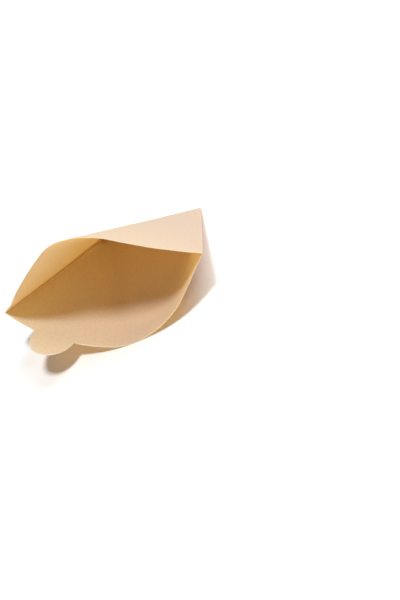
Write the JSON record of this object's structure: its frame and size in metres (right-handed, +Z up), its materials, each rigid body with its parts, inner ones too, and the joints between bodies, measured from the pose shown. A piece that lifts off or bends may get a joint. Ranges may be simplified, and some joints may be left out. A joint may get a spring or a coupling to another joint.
{
  "type": "paper coffee filter",
  "caption": "Wedge-shaped kraft paper coffee filter, opened, with a folded side, crimped seams folded flat, a curved rim and a round finger tab.",
  "frame": {"origin": "under the middle of the outer box, on the surface that the filter lies on", "axes": "+Z up, mouth towards -Y, folded side towards +X, seam side towards -X"},
  "size_m": [0.1444, 0.107, 0.0683],
  "materials": {
    "kraft_paper": "matt, fine lengthwise creping"
  },
  "bodies": {
    "root": {"filter": "kraft_paper"}
  },
  "joints": []
}
